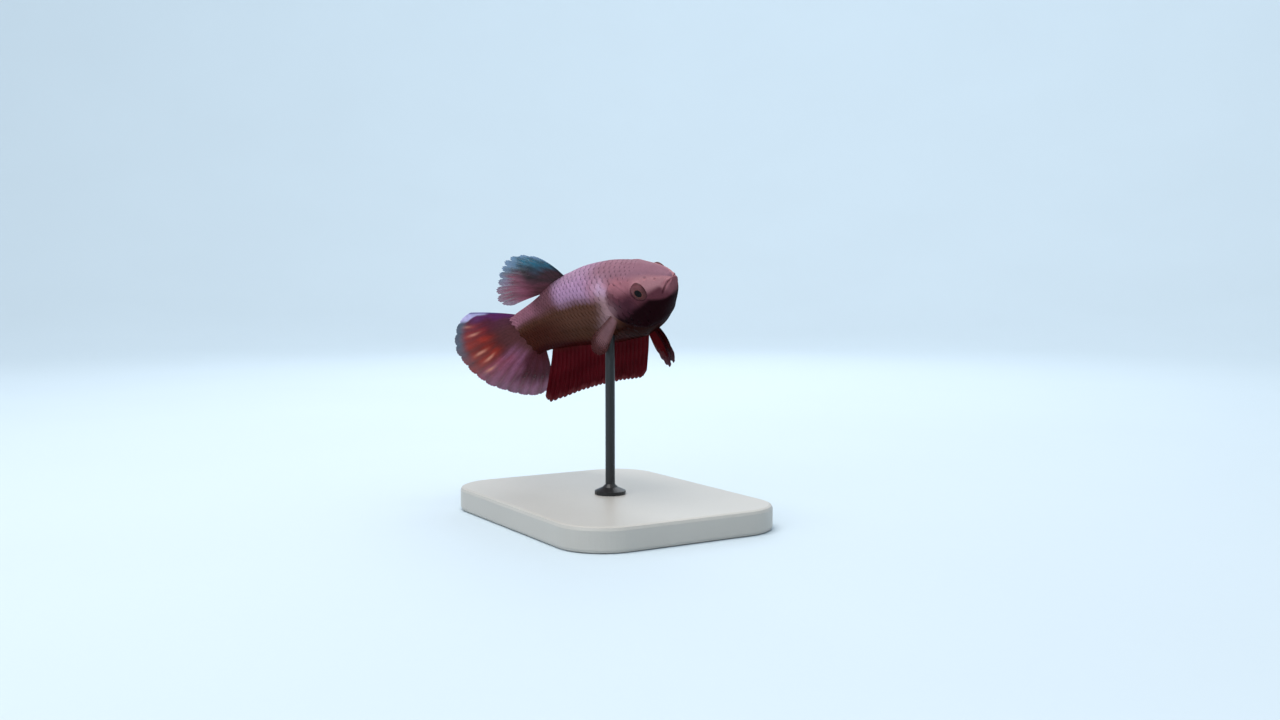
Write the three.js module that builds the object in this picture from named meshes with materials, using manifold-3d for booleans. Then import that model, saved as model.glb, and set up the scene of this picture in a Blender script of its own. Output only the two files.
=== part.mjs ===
// Betta fish, a short-finned male with all fins spread, as a life-size still model banked on a small stand.
// Millimetres, +Z up. The origin is the centre of the underside of the stand's base, and the fish heads
// towards +X. The fish is worked out in its own frame first: x ahead, y to its left, z towards its back,
// with the tip of the snout at the origin, and then pitched, banked and set over the stand.
import * as THREE from 'three';
import { mergeVertices } from 'three/addons/utils/BufferGeometryUtils.js';
import Module from 'manifold-3d';

const wasm = await Module();
wasm.setup();

// ---- driving dimensions ----
const LENGTH = 46; // snout to the root of the tail fin; every fraction below is of this length
const PITCH = 10; // degrees, head up
const BANK = 39; // degrees, left side up and the back leaning to the right
const SNOUT_HEIGHT = 40; // tip of the snout over the floor
const GAP = 0.2; // clear space between two pieces of the fish
const FIN_THICKNESS = 0.55;
const BASE = { length: 50, width: 38, thickness: 4, corner: 8, edge: 0.6 };
const ROD = { radius: 0.8, footRadius: 2.6, footHeight: 1.2, fillet: 0.5, depthInBody: 4, station: 0.43 };

// Body stations: distance from the snout, height of the back, depth of the belly and half width.
const STATIONS = [
  [0.0, 0.02, 0.0, 0.012],
  [0.03, 0.045, 0.042, 0.034],
  [0.08, 0.07, 0.079, 0.053],
  [0.15, 0.094, 0.118, 0.074],
  [0.25, 0.12, 0.158, 0.094],
  [0.35, 0.139, 0.173, 0.1],
  [0.5, 0.152, 0.172, 0.086],
  [0.65, 0.144, 0.155, 0.067],
  [0.8, 0.119, 0.13, 0.043],
  [0.9, 0.104, 0.113, 0.029],
  [1.0, 0.095, 0.1, 0.018],
];
const BODY_RINGS = 34;
const RING_POINTS = 28;

// The spine bends to the fish's right: a little along the trunk and strongly in the blade of the tail.
const TRUNK_BEND = { degrees: 8, from: 0.35, to: 0.85 };
const TAIL_BEND = { degrees: 46, from: 0.86, to: 1.2 };

// Rear edge of the gill covers: a bow that reaches furthest back under the level of the eye.
const GILL = {
  rearmost: 0.305, level: -0.01, bow: 7, front: 0.174, round: 0.036,
  top: 0.07, bottom: -0.115, depth: 0.05,
};
const MOUTH = { tipLevel: 0.009, cornerAt: 0.05, cornerLevel: -0.02 };
const JAW_JOINT = { at: 0.083, level: -0.1 };
const EYE = { at: 0.131, level: 0.019, out: 0.05, radius: 1.65, halfDepth: 1.1, forward: 16 };
const STALK_AT = 0.86;
const PAST_BODY = 0.2; // past the back and the belly

// Fins: the two ends of the root line, the lie of the first and last ray in degrees over the line that
// runs straight back, and the length of the rays along the root as [place, length] pairs. The front rays
// curve back by arch degrees from root to tip; the arch of a fin below the fish is negative.
const DORSAL = {
  root: [[0.58, 0.149], [0.775, 0.12]],
  lie: [75, 3],
  arch: 24,
  rays: [[0, 0.1], [0.12, 0.175], [0.3, 0.235], [0.5, 0.265], [0.7, 0.285], [0.87, 0.28], [1, 0.21]],
};
const CAUDAL = {
  root: [[0.985, 0.088], [0.985, -0.088]],
  lie: [36, -52],
  arch: 0,
  rays: [[0, 0.2], [0.1, 0.267], [0.3, 0.32], [0.5, 0.325], [0.7, 0.305], [0.9, 0.28], [1, 0.24]],
  curl: 0.17,
};
const ANAL = {
  root: [[0.355, -0.168], [0.955, -0.1045]],
  lie: [-39, -41],
  arch: 0,
  rays: [[0, 0.25], [0.05, 0.29], [0.3, 0.29], [0.7, 0.295], [0.93, 0.28], [1, 0.235]],
};
const PELVIC = {
  root: [[0.296, -0.162], [0.346, -0.168]],
  lie: [-86, -66],
  arch: -30,
  rays: [[0, 0.13], [0.2, 0.165], [0.4, 0.172], [0.7, 0.132], [1, 0.07]],
  side: 0.009,
  splay: 0.003,
};
const PECTORAL = { at: 0.332, level: -0.02, rootHeight: 0.036, lie: [-14, -36], out: 28, length: 0.165 };
const ROOT_DEPTH = 0.035; // how far a fin's rays start under the skin before the body is cut away

const RAD = Math.PI / 180;

// ---- curves ----
// A smooth line through [x, y] pairs that never overshoots them: cubic pieces with limited slopes.
function smoothLine(pairs) {
  const xs = pairs.map((p) => p[0]);
  const ys = pairs.map((p) => p[1]);
  const last = xs.length - 1;
  const rise = xs.slice(1).map((x, i) => (ys[i + 1] - ys[i]) / (x - xs[i]));
  const slope = ys.map((_, i) => {
    if (i === 0) return rise[0];
    if (i === last) return rise[last - 1];
    const [a, b] = [rise[i - 1], rise[i]];
    return a * b > 0 ? (2 * a * b) / (a + b) : 0;
  });
  return (x) => {
    const at = Math.min(Math.max(x, xs[0]), xs[last]);
    let i = 0;
    while (i < last - 1 && at > xs[i + 1]) i++;
    const h = xs[i + 1] - xs[i];
    const t = (at - xs[i]) / h;
    const keep = ys[i] * (1 + 2 * t) * (1 - t) ** 2 + ys[i + 1] * t * t * (3 - 2 * t);
    return keep + h * (slope[i] * t * (1 - t) ** 2 - slope[i + 1] * t * t * (1 - t));
  };
}

const back = smoothLine(STATIONS.map(([s, top]) => [s, top]));
const belly = smoothLine(STATIONS.map(([s, , bottom]) => [s, bottom]));
const halfWidth = smoothLine(STATIONS.map(([s, , , wide]) => [s, wide]));

function bend({ degrees, from, to }, s) {
  const t = Math.min(Math.max((s - from) / (to - from), 0), 1);
  return degrees * RAD * t * t * (3 - 2 * t);
}
const heading = (s) => bend(TRUNK_BEND, s) + bend(TAIL_BEND, s);

const SPINE_STEP = 0.01;
const SPINE_END = 1.6;
const spine = [new THREE.Vector2(0, 0)];
for (let s = SPINE_STEP / 2; s < SPINE_END; s += SPINE_STEP) {
  const stride = new THREE.Vector2(-Math.cos(heading(s)), -Math.sin(heading(s))).multiplyScalar(SPINE_STEP);
  spine.push(spine[spine.length - 1].clone().add(stride));
}

// A place on the fish: s along the bent spine, y to its left and z towards its back, all as fractions.
function place(s, y, z) {
  const along = Math.max(s, 0) / SPINE_STEP;
  const i = Math.min(Math.floor(along), spine.length - 2);
  const on = spine[i].clone().lerp(spine[i + 1], along - i);
  const h = heading(s);
  return new THREE.Vector3(on.x - Math.sin(h) * y, on.y + Math.cos(h) * y, z).multiplyScalar(LENGTH);
}

// ---- solids ----
// Rings of points joined into a closed skin; the first and last ring are closed straight across.
function loft(rings) {
  const count = rings[0].length;
  const index = [];
  for (let i = 0; i < rings.length - 1; i++) {
    for (let j = 0; j < count; j++) {
      const [a, b] = [i * count + j, i * count + ((j + 1) % count)];
      index.push(a, b, a + count, b, b + count, a + count);
    }
  }
  for (const [start, turned] of [[0, true], [(rings.length - 1) * count, false]]) {
    for (let j = 0; j < count / 2 - 1; j++) {
      const [a, b, c, d] = [j, j + 1, count - 2 - j, count - 1 - j].map((k) => start + k);
      const faces = b === c ? [a, b, d] : [a, b, d, b, c, d];
      index.push(...(turned ? faces.reverse() : faces));
    }
  }
  return solidFrom(new Float32Array(rings.flat().flatMap((p) => p.toArray())), new Uint32Array(index));
}

// A manifold solid from loose triangles; one whose faces point inwards is turned the right way round.
function solidFrom(vertProperties, triVerts) {
  const solid = new wasm.Manifold(new wasm.Mesh({ numProp: 3, vertProperties, triVerts }));
  if (solid.volume() > 0) return solid;
  return new wasm.Manifold(new wasm.Mesh({ numProp: 3, vertProperties, triVerts: triVerts.reverse() }));
}

function solidOfGeometry(geometry) {
  const bare = geometry.clone();
  bare.deleteAttribute('normal');
  bare.deleteAttribute('uv');
  const merged = mergeVertices(bare, 1e-4);
  return solidFrom(new Float32Array(merged.attributes.position.array), new Uint32Array(merged.index.array));
}

function geometryOfSolid(solid) {
  const mesh = solid.getMesh();
  const points = new Float32Array((mesh.vertProperties.length / mesh.numProp) * 3);
  for (let i = 0; i < points.length / 3; i++) {
    points.set(mesh.vertProperties.subarray(i * mesh.numProp, i * mesh.numProp + 3), i * 3);
  }
  const geometry = new THREE.BufferGeometry();
  geometry.setAttribute('position', new THREE.BufferAttribute(points, 3));
  geometry.setIndex(new THREE.BufferAttribute(new Uint32Array(mesh.triVerts), 1));
  geometry.computeVertexNormals();
  return geometry;
}

// The whole body from the snout to the root of the tail fin. grow moves its skin out by some millimetres.
function bodySolid(grow = 0) {
  const g = grow / LENGTH;
  const rings = [];
  for (let i = 0; i <= BODY_RINGS; i++) {
    const s = (i / BODY_RINGS) ** 1.2;
    const [top, bottom, wide] = [back(s) + g, -belly(s) - g, halfWidth(s) + g];
    const middle = 0.575 * top + 0.425 * bottom;
    const ring = [];
    for (let j = 0; j < RING_POINTS; j++) {
      const turn = ((j + 0.5) / RING_POINTS) * 2 * Math.PI - Math.PI / 2;
      const [across, up] = [Math.cos(turn), Math.sin(turn)];
      const reach = up > 0 ? top - middle : middle - bottom;
      const y = wide * Math.sign(across) * Math.abs(across) ** 0.85;
      const z = middle + reach * Math.sign(up) * Math.abs(up) ** 0.95;
      ring.push(place(s + (i === BODY_RINGS ? g : 0) - (i === 0 ? g : 0), y, z));
    }
    rings.push(ring);
  }
  return loft(rings);
}

// A fin: a sheet of rays given by a surface function of the place along the root and along the ray,
// thickened to both sides along its own normal. Rays start under the skin at a negative place.
function finSolid(surface, rays, steps) {
  const rings = [];
  const half = FIN_THICKNESS / 2;
  const tiny = 1e-3;
  for (let i = 0; i <= rays; i++) {
    const u = i / rays;
    const sides = [[], []];
    for (let j = 0; j <= steps; j++) {
      const v = j / steps;
      const point = surface(u, v);
      const alongRoot = surface(u + tiny, v).sub(surface(u - tiny, v));
      const alongRay = surface(u, v + tiny).sub(surface(u, v - tiny));
      const normal = alongRoot.cross(alongRay).normalize().multiplyScalar(half);
      sides[0].push(point.clone().add(normal));
      sides[1].push(point.clone().sub(normal));
    }
    rings.push([...sides[0], ...sides[1].reverse()]);
  }
  return loft(rings);
}

// A fin that stands in the middle plane of the fish, or beside it by side(u, reach) fractions.
function rayFin({ root, lie, arch, rays }, side = () => 0) {
  const rayLength = smoothLine(rays);
  return (u, v) => {
    const angle = (lie[0] + (lie[1] - lie[0]) * u + arch * (1 - u) * (0.5 - v)) * RAD;
    const reach = rayLength(u) * v - ROOT_DEPTH * (1 - v);
    const s = root[0][0] + (root[1][0] - root[0][0]) * u + reach * Math.cos(angle);
    const z = root[0][1] + (root[1][1] - root[0][1]) * u + reach * Math.sin(angle);
    return place(s, side(u, v), z);
  };
}

function pectoralSurface(side) {
  const { at, level, rootHeight, lie, out, length } = PECTORAL;
  return (u, v) => {
    const angle = (lie[0] + (lie[1] - lie[0]) * u) * RAD;
    const reach = length * (1 - 0.3 * (2 * u - 1) ** 2) * v - ROOT_DEPTH * (1 - v);
    const s = at + reach * Math.cos(angle) * Math.cos(out * RAD);
    const y = halfWidth(at) - 0.004 + reach * Math.sin(out * RAD);
    return place(s, side * y, level - rootHeight * u + reach * Math.sin(angle));
  };
}

// A side outline in fractions of [distance from the snout, height], carried straight through the fish.
// near is the closest it comes to the middle plane; side +1 is the left half, -1 the right, 0 both.
function throughFish(outline, side = 0, near = 0) {
  const shape = new THREE.Shape(outline.map(([s, z]) => new THREE.Vector2(-s * LENGTH, z * LENGTH)));
  const reach = 0.3 * LENGTH;
  const depth = side === 0 ? 2 * reach : reach - near;
  const geometry = new THREE.ExtrudeGeometry(shape, { depth, bevelEnabled: false });
  geometry.rotateX(Math.PI / 2);
  geometry.translate(0, side === 0 ? reach : side > 0 ? reach : -near, 0);
  return solidOfGeometry(geometry);
}

// Points down the rear edge of the gill opening, shifted back by some fraction.
function gillEdge(shift, top, bottom) {
  const steps = Math.ceil((top - bottom) / 0.015);
  const points = [];
  for (let i = 0; i <= steps; i++) {
    const z = top + ((bottom - top) * i) / steps;
    points.push([GILL.rearmost + shift - GILL.bow * (z - GILL.level) ** 2, z]);
  }
  return points;
}

// Outline of one gill cover; its upper, front and lower edges lie a given fraction outside the cover's own.
function gillCoverOutline(rearShift, grow) {
  const [top, bottom] = [GILL.top + grow, GILL.bottom - grow];
  const steps = 8;
  const front = [];
  for (let i = 0; i <= steps; i++) {
    const t = i / steps;
    const roundOff = GILL.round * Math.abs(2 * t - 1) ** 3;
    front.push([GILL.front - grow + roundOff, bottom + (top - bottom) * t]);
  }
  return [...gillEdge(rearShift, top, bottom), ...front];
}

// Outline of the lower jaw, whose edges lie a given fraction past the mouth line and the jaw joint.
function jawOutline(grow) {
  return [
    [-PAST_BODY, MOUTH.tipLevel + grow],
    [0, MOUTH.tipLevel + grow],
    [MOUTH.cornerAt + grow, MOUTH.cornerLevel + grow],
    [JAW_JOINT.at + grow, JAW_JOINT.level],
    [JAW_JOINT.at + grow, -PAST_BODY],
    [-PAST_BODY, -PAST_BODY],
  ];
}

// One eyeball, flattened from side to side and turned a little ahead; grow adds to it all round.
function eyeball(side, grow = 0) {
  const geometry = new THREE.SphereGeometry(1, 16, 12);
  geometry.scale(EYE.radius + grow, EYE.radius + grow, EYE.halfDepth + grow);
  geometry.rotateX(Math.PI / 2);
  geometry.rotateZ(-side * EYE.forward * RAD);
  const centre = place(EYE.at, side * EYE.out, EYE.level);
  return geometry.translate(centre.x, centre.y, centre.z);
}

// ---- placing ----
const fish = new THREE.Group();
fish.rotation.set(BANK * RAD, -PITCH * RAD, 0, 'ZYX');
fish.updateMatrix();
const support = place(ROD.station, 0, 0).applyMatrix4(fish.matrix);
fish.position.set(-support.x, -support.y, SNOUT_HEIGHT);
fish.updateMatrix();
const stand = new THREE.Group();
const model = new THREE.Group();
model.add(fish, stand);

function addPart(group, name, shape, color, roughness, metalness = 0) {
  const geometry = shape instanceof THREE.BufferGeometry ? shape : geometryOfSolid(shape);
  const mesh = new THREE.Mesh(geometry, new THREE.MeshStandardMaterial({ color, roughness, metalness }));
  mesh.name = name;
  group.add(mesh);
}

// ---- stand: a rounded base and one pin with a small foot, which ends in a socket in the belly ----
function standBase() {
  const { length, width, thickness, corner, edge } = BASE;
  const [x, y] = [length / 2 - edge, width / 2 - edge];
  const r = corner - edge;
  const outline = new THREE.Shape();
  outline.absarc(x - r, y - r, r, 0, Math.PI / 2);
  outline.absarc(r - x, y - r, r, Math.PI / 2, Math.PI);
  outline.absarc(r - x, r - y, r, Math.PI, 1.5 * Math.PI);
  outline.absarc(x - r, r - y, r, 1.5 * Math.PI, 2 * Math.PI);
  const bevel = { bevelSize: edge, bevelThickness: edge, bevelSegments: 2 };
  const sizes = { depth: thickness - 2 * edge, curveSegments: 8, ...bevel };
  return new THREE.ExtrudeGeometry(outline, sizes).translate(0, 0, edge);
}

// Height of the underside of the body straight above the centre of the base.
function undersideOfBody() {
  const ray = new THREE.Raycaster(new THREE.Vector3(0, 0, 0), new THREE.Vector3(0, 0, 1));
  const mesh = new THREE.Mesh(geometryOfSolid(body), new THREE.MeshBasicMaterial({ side: THREE.DoubleSide }));
  mesh.applyMatrix4(fish.matrix);
  mesh.updateMatrixWorld();
  return ray.intersectObject(mesh)[0].point.z;
}

// The upright pin with its turned foot, from the top of the base to some height; grow widens it.
function pin(grow, top) {
  const { radius, footRadius, footHeight, fillet } = ROD;
  const profile = [
    [0, 0],
    [footRadius, 0],
    [footRadius, footHeight / 2],
    [radius + fillet, footHeight],
    [radius, footHeight + fillet],
    [radius, top - BASE.thickness],
  ].map(([r, z]) => new THREE.Vector2(r > 0 ? r + grow : 0, z + BASE.thickness));
  profile.push(new THREE.Vector2(0, top));
  return new THREE.LatheGeometry(profile, 24).rotateX(Math.PI / 2);
}

// ---- the body and its parts ----
const gap = GAP / LENGTH;
const body = bodySolid();
const clearOfBody = bodySolid(GAP);
const rodTop = undersideOfBody() + ROD.depthInBody;
const socket = solidOfGeometry(pin(GAP, rodTop + GAP).applyMatrix4(fish.matrix.clone().invert()));

const headRegion = throughFish([
  ...gillEdge(-gap / 2, PAST_BODY, -PAST_BODY),
  [-PAST_BODY, -PAST_BODY],
  [-PAST_BODY, PAST_BODY],
]);
const trunkRegion = throughFish([
  ...gillEdge(gap / 2, PAST_BODY, -PAST_BODY),
  [STALK_AT - gap / 2, -PAST_BODY],
  [STALK_AT - gap / 2, PAST_BODY],
]);
const stalkRegion = throughFish([
  [STALK_AT + gap / 2, PAST_BODY],
  [STALK_AT + gap / 2, -PAST_BODY],
  [SPINE_END, -PAST_BODY],
  [SPINE_END, PAST_BODY],
]);

const FLESH = 0x9a6f77;
let head = body.intersect(headRegion).subtract(throughFish(jawOutline(gap)));
addPart(fish, 'lower_jaw', body.intersect(throughFish(jawOutline(0))), 0x6b4046, 0.45);

for (const [side, label] of [[1, 'left'], [-1, 'right']]) {
  const cover = throughFish(gillCoverOutline(-gap / 2, 0), side, GILL.depth * LENGTH);
  addPart(fish, `gill_cover_${label}`, clearOfBody.intersect(cover), 0x3c2638, 0.4);
  head = head.subtract(throughFish(gillCoverOutline(1, gap), side, (GILL.depth - gap) * LENGTH));
  addPart(fish, `eye_${label}`, eyeball(side), 0x15100f, 0.1);
  head = head.subtract(solidOfGeometry(eyeball(side, GAP)));
}
addPart(fish, 'head', head, 0xc28c8c, 0.45);
addPart(fish, 'trunk', body.intersect(trunkRegion).subtract(socket), FLESH, 0.42);
addPart(fish, 'tail_stalk', body.intersect(stalkRegion), FLESH, 0.42);

// ---- fins ----
const curled = (u, v) => CAUDAL.curl * Math.max(u - 0.1, 0) ** 1.2 * Math.max(v, 0) ** 1.7;
addPart(fish, 'dorsal_fin', finSolid(rayFin(DORSAL), 16, 7).subtract(clearOfBody), 0x2c3a42, 0.35);
addPart(fish, 'caudal_fin', finSolid(rayFin(CAUDAL, curled), 24, 8).subtract(clearOfBody), 0x8e3a30, 0.35);
addPart(fish, 'anal_fin', finSolid(rayFin(ANAL), 26, 5).subtract(clearOfBody), 0x4a1218, 0.35);
for (const [side, label] of [[1, 'left'], [-1, 'right']]) {
  const spread = (u, v) => side * (PELVIC.side + PELVIC.splay * Math.max(v, 0));
  const pelvic = finSolid(rayFin(PELVIC, spread), 8, 6).subtract(clearOfBody);
  addPart(fish, `pelvic_fin_${label}`, pelvic, 0x5a1c20, 0.35);
  const pectoral = finSolid(pectoralSurface(side), 10, 6).subtract(clearOfBody);
  addPart(fish, `pectoral_fin_${label}`, pectoral, 0x86605f, 0.35);
}

// ---- the stand's own pieces ----
addPart(stand, 'stand_base', standBase(), 0xbdb9b2, 0.5);
addPart(stand, 'stand_rod', pin(0, rodTop), 0x1b1b1d, 0.35, 0.8);

export default model;
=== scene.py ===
import bpy
import numpy as np
from mathutils import Matrix, Vector


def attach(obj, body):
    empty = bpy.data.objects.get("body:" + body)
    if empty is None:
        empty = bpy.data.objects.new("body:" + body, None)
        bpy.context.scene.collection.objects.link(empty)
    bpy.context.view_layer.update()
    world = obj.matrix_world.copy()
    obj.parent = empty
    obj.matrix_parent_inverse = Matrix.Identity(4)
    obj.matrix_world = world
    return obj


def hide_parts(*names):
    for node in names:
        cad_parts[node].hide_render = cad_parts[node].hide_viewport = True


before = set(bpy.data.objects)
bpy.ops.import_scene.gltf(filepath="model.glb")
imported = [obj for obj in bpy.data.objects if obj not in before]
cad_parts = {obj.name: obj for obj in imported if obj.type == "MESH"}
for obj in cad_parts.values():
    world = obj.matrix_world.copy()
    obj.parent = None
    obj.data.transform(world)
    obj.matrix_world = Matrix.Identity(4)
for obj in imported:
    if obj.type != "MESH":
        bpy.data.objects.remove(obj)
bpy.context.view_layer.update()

# ---- Body and skin ----
# The flesh of head, jaw, gill covers, trunk and tail stalk under one moist skin without a seam. It is
# cast in one piece over the fish's form, and the scales lie on it, so it is a scale's depth thinner.

MM = 0.001
LENGTH = 46 * MM  # snout to the root of the tail fin; fractions below are of this length
BANK, PITCH = np.radians(39), np.radians(10)
SNOUT_HEIGHT = 40 * MM  # over the table
ROD_STATION = 0.43  # the stand's pin stands under this place of the spine
COAT = 0.11 * MM  # depth of the scales over the skin

# Distance from the snout, height of the back, depth of the belly and half width.
STATIONS = np.array([
    [0.0, 0.02, 0.0, 0.012],
    [0.03, 0.045, 0.042, 0.034],
    [0.08, 0.07, 0.079, 0.053],
    [0.15, 0.094, 0.118, 0.074],
    [0.25, 0.12, 0.158, 0.094],
    [0.35, 0.139, 0.173, 0.1],
    [0.5, 0.152, 0.172, 0.086],
    [0.65, 0.144, 0.155, 0.067],
    [0.8, 0.119, 0.13, 0.043],
    [0.9, 0.104, 0.113, 0.029],
    [1.0, 0.095, 0.1, 0.018],
])
MIDDLE = 0.575  # height of the widest place of a section, from belly (0) to back (1)
SIDE_POWER, BACK_POWER = 0.85, 0.95  # of a section's superellipse: under 1, it is fuller than an ellipse
TRUNK_BEND = (8, 0.35, 0.85)  # degrees to the right, and the stretch of the spine that bends
TAIL_BEND = (46, 0.86, 1.2)
SPINE_END, SPINE_STEPS = 1.6, 640  # the spine runs on into the tail fin
GILL_REARMOST, GILL_LEVEL, GILL_BOW = 0.305, -0.01, 7  # the rear edge's rearmost point, and its bow
GILL_TOP, GILL_BOTTOM = 0.07, -0.115
RIDGE_FRONT, RIDGE_LEVEL, RIDGE_BOW = 0.174, -0.022, 0.036  # the ridge before it: its foremost point, its bow
EYE_AT, EYE_LEVEL, EYE_OUT = 0.131, 0.019, 0.05  # the last from the middle plane
SOCKET_DEPTH, SOCKET_RADIUS = 0.6 * MM, 1.32 * MM
MOUTH_CORNER, MOUTH_TIP = (0.05, -0.02), 0.009
MOUTH_DEPTH, UPPER_LIP, LOWER_LIP = 0.26 * MM, 0.13 * MM, 0.17 * MM
JAW_CREASE = (0.062, -0.033)  # place and level of the short fold behind the corner of the mouth
CREASE_DEPTH, NOSTRIL_DEPTH, PORE_DEPTH = 0.09 * MM, 0.2 * MM, 0.09 * MM
NOSTRILS = ((0.046, 0.035, 0.15), (0.083, 0.052, 0.2))  # place, level and radius in mm
PORE_RING = 0.056  # a row of sensory pores runs round the eye at this distance
PORES = np.radians([-150, -125, -100, -75, -50, 40, 65, 115, 140])
GILL_STEP, GILL_SLIT, RIDGE_GROOVE = 0.24 * MM, 0.16 * MM, 0.10 * MM
THROAT_FOLD, THROAT_WAVE = 0.05 * MM, 0.30 * MM
DORSAL_SWELL, ANAL_SWELL, SWELL_WIDTH = 0.16 * MM, 0.14 * MM, 0.9 * MM


def smooth_line(x, xs, ys):
    """Cubic pieces through the points; a point's slope is the harmonic mean of its neighbours' slopes."""
    step = np.diff(xs)
    rise = np.diff(ys) / step
    a, b = rise[:-1], rise[1:]
    inner = np.where(a * b > 0, 2 * a * b / np.where(a + b == 0, 1, a + b), 0)
    slope = np.concatenate([rise[:1], inner, rise[-1:]])
    x = np.clip(x, xs[0], xs[-1])
    i = np.clip(np.searchsorted(xs, x, side="right") - 1, 0, len(step) - 1)
    t = (x - xs[i]) / step[i]
    keep = ys[i] * (1 + 2 * t) * (1 - t) ** 2 + ys[i + 1] * t * t * (3 - 2 * t)
    return keep + step[i] * (slope[i] * t * (1 - t) ** 2 - slope[i + 1] * t * t * (1 - t))


def ease(x, start, end):
    """0 up to start and 1 from end on, with a smooth cubic step between; start may be above end."""
    t = np.clip((x - start) / (end - start), 0, 1)
    return t * t * (3 - 2 * t)


def heading(s):
    """How far the spine has turned to the right at s, as the sum of two eased bends."""
    return sum(np.radians(turn) * ease(s, start, end) for turn, start, end in (TRUNK_BEND, TAIL_BEND))


spine_at = np.linspace(0, SPINE_END, SPINE_STEPS + 1)
spine_turn = heading((spine_at[1:] + spine_at[:-1]) / 2)
spine_step = spine_at[1]
spine_x = np.concatenate([[0], np.cumsum(-np.cos(spine_turn) * spine_step)])
spine_y = np.concatenate([[0], np.cumsum(-np.sin(spine_turn) * spine_step)])


def place(s, y, z):
    """A place in the fish's own frame: s along the bent spine, y to its left, z to its back."""
    s, y, z = np.broadcast_arrays(s, y, z)
    ahead = np.minimum(s, 0)
    h = heading(s)
    x = np.interp(s, spine_at, spine_x) - ahead - np.sin(h) * y
    return np.stack([x, np.interp(s, spine_at, spine_y) + np.cos(h) * y, z], -1) * LENGTH


pose = np.array(Matrix.Rotation(-PITCH, 3, "Y") @ Matrix.Rotation(BANK, 3, "X"))
held_at = pose @ place(ROD_STATION, 0.0, 0.0)
snout = np.array([-held_at[0], -held_at[1], SNOUT_HEIGHT])


def on_stand(points):
    """Banks and pitches points of the fish's own frame, and sets the snout where it stands."""
    return points @ pose.T + snout


def outline(s):
    """Level of the back, level of the belly and half width at s, as smooth lines through the stations."""
    top, depth, wide = (smooth_line(s, STATIONS[:, 0], STATIONS[:, k]) for k in (1, 2, 3))
    return top, -depth, wide


def body_form(s, t):
    """The body's surface. t turns from the belly (0) over the left side (a quarter) to the back (a half).
    A section is a superellipse round a middle a little above half height."""
    top, bottom, wide = outline(s)
    middle = bottom + MIDDLE * (top - bottom)
    across, up = np.sin(2 * np.pi * t), -np.cos(2 * np.pi * t)
    reach = np.where(up > 0, top - middle, middle - bottom)
    y = wide * np.sign(across) * np.abs(across) ** SIDE_POWER
    z = middle + reach * np.sign(up) * np.abs(up) ** BACK_POWER
    return y, z


def body_point(s, t):
    """The plain body's surface, laid along the bent spine."""
    y, z = body_form(s, t)
    return place(s, y, z)


def body_normal(s, t):
    """Cross product of the surface's run along and its run around, which points outwards."""
    tiny = 1e-3
    along = body_point(s + tiny, t) - body_point(np.maximum(s - tiny, 0), t)
    around = body_point(s, t + tiny) - body_point(s, t - tiny)
    out = np.cross(along, around)
    return out / np.maximum(np.linalg.norm(out, axis=-1, keepdims=True), 1e-12)


def gill_edge(z):
    """Distance from the snout to the rear edge of the gill cover: a bow open to the front."""
    return GILL_REARMOST - GILL_BOW * (z - GILL_LEVEL) ** 2


def gill_ridge(z):
    """Distance from the snout to the bony ridge before the gill cover: a bow open to the rear."""
    return RIDGE_FRONT + RIDGE_BOW * np.abs((z - RIDGE_LEVEL) / 0.09) ** 2.5


def hump(x, width):
    """A bell curve of height 1 round x = 0."""
    return np.exp(-((x / width) ** 2))


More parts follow.
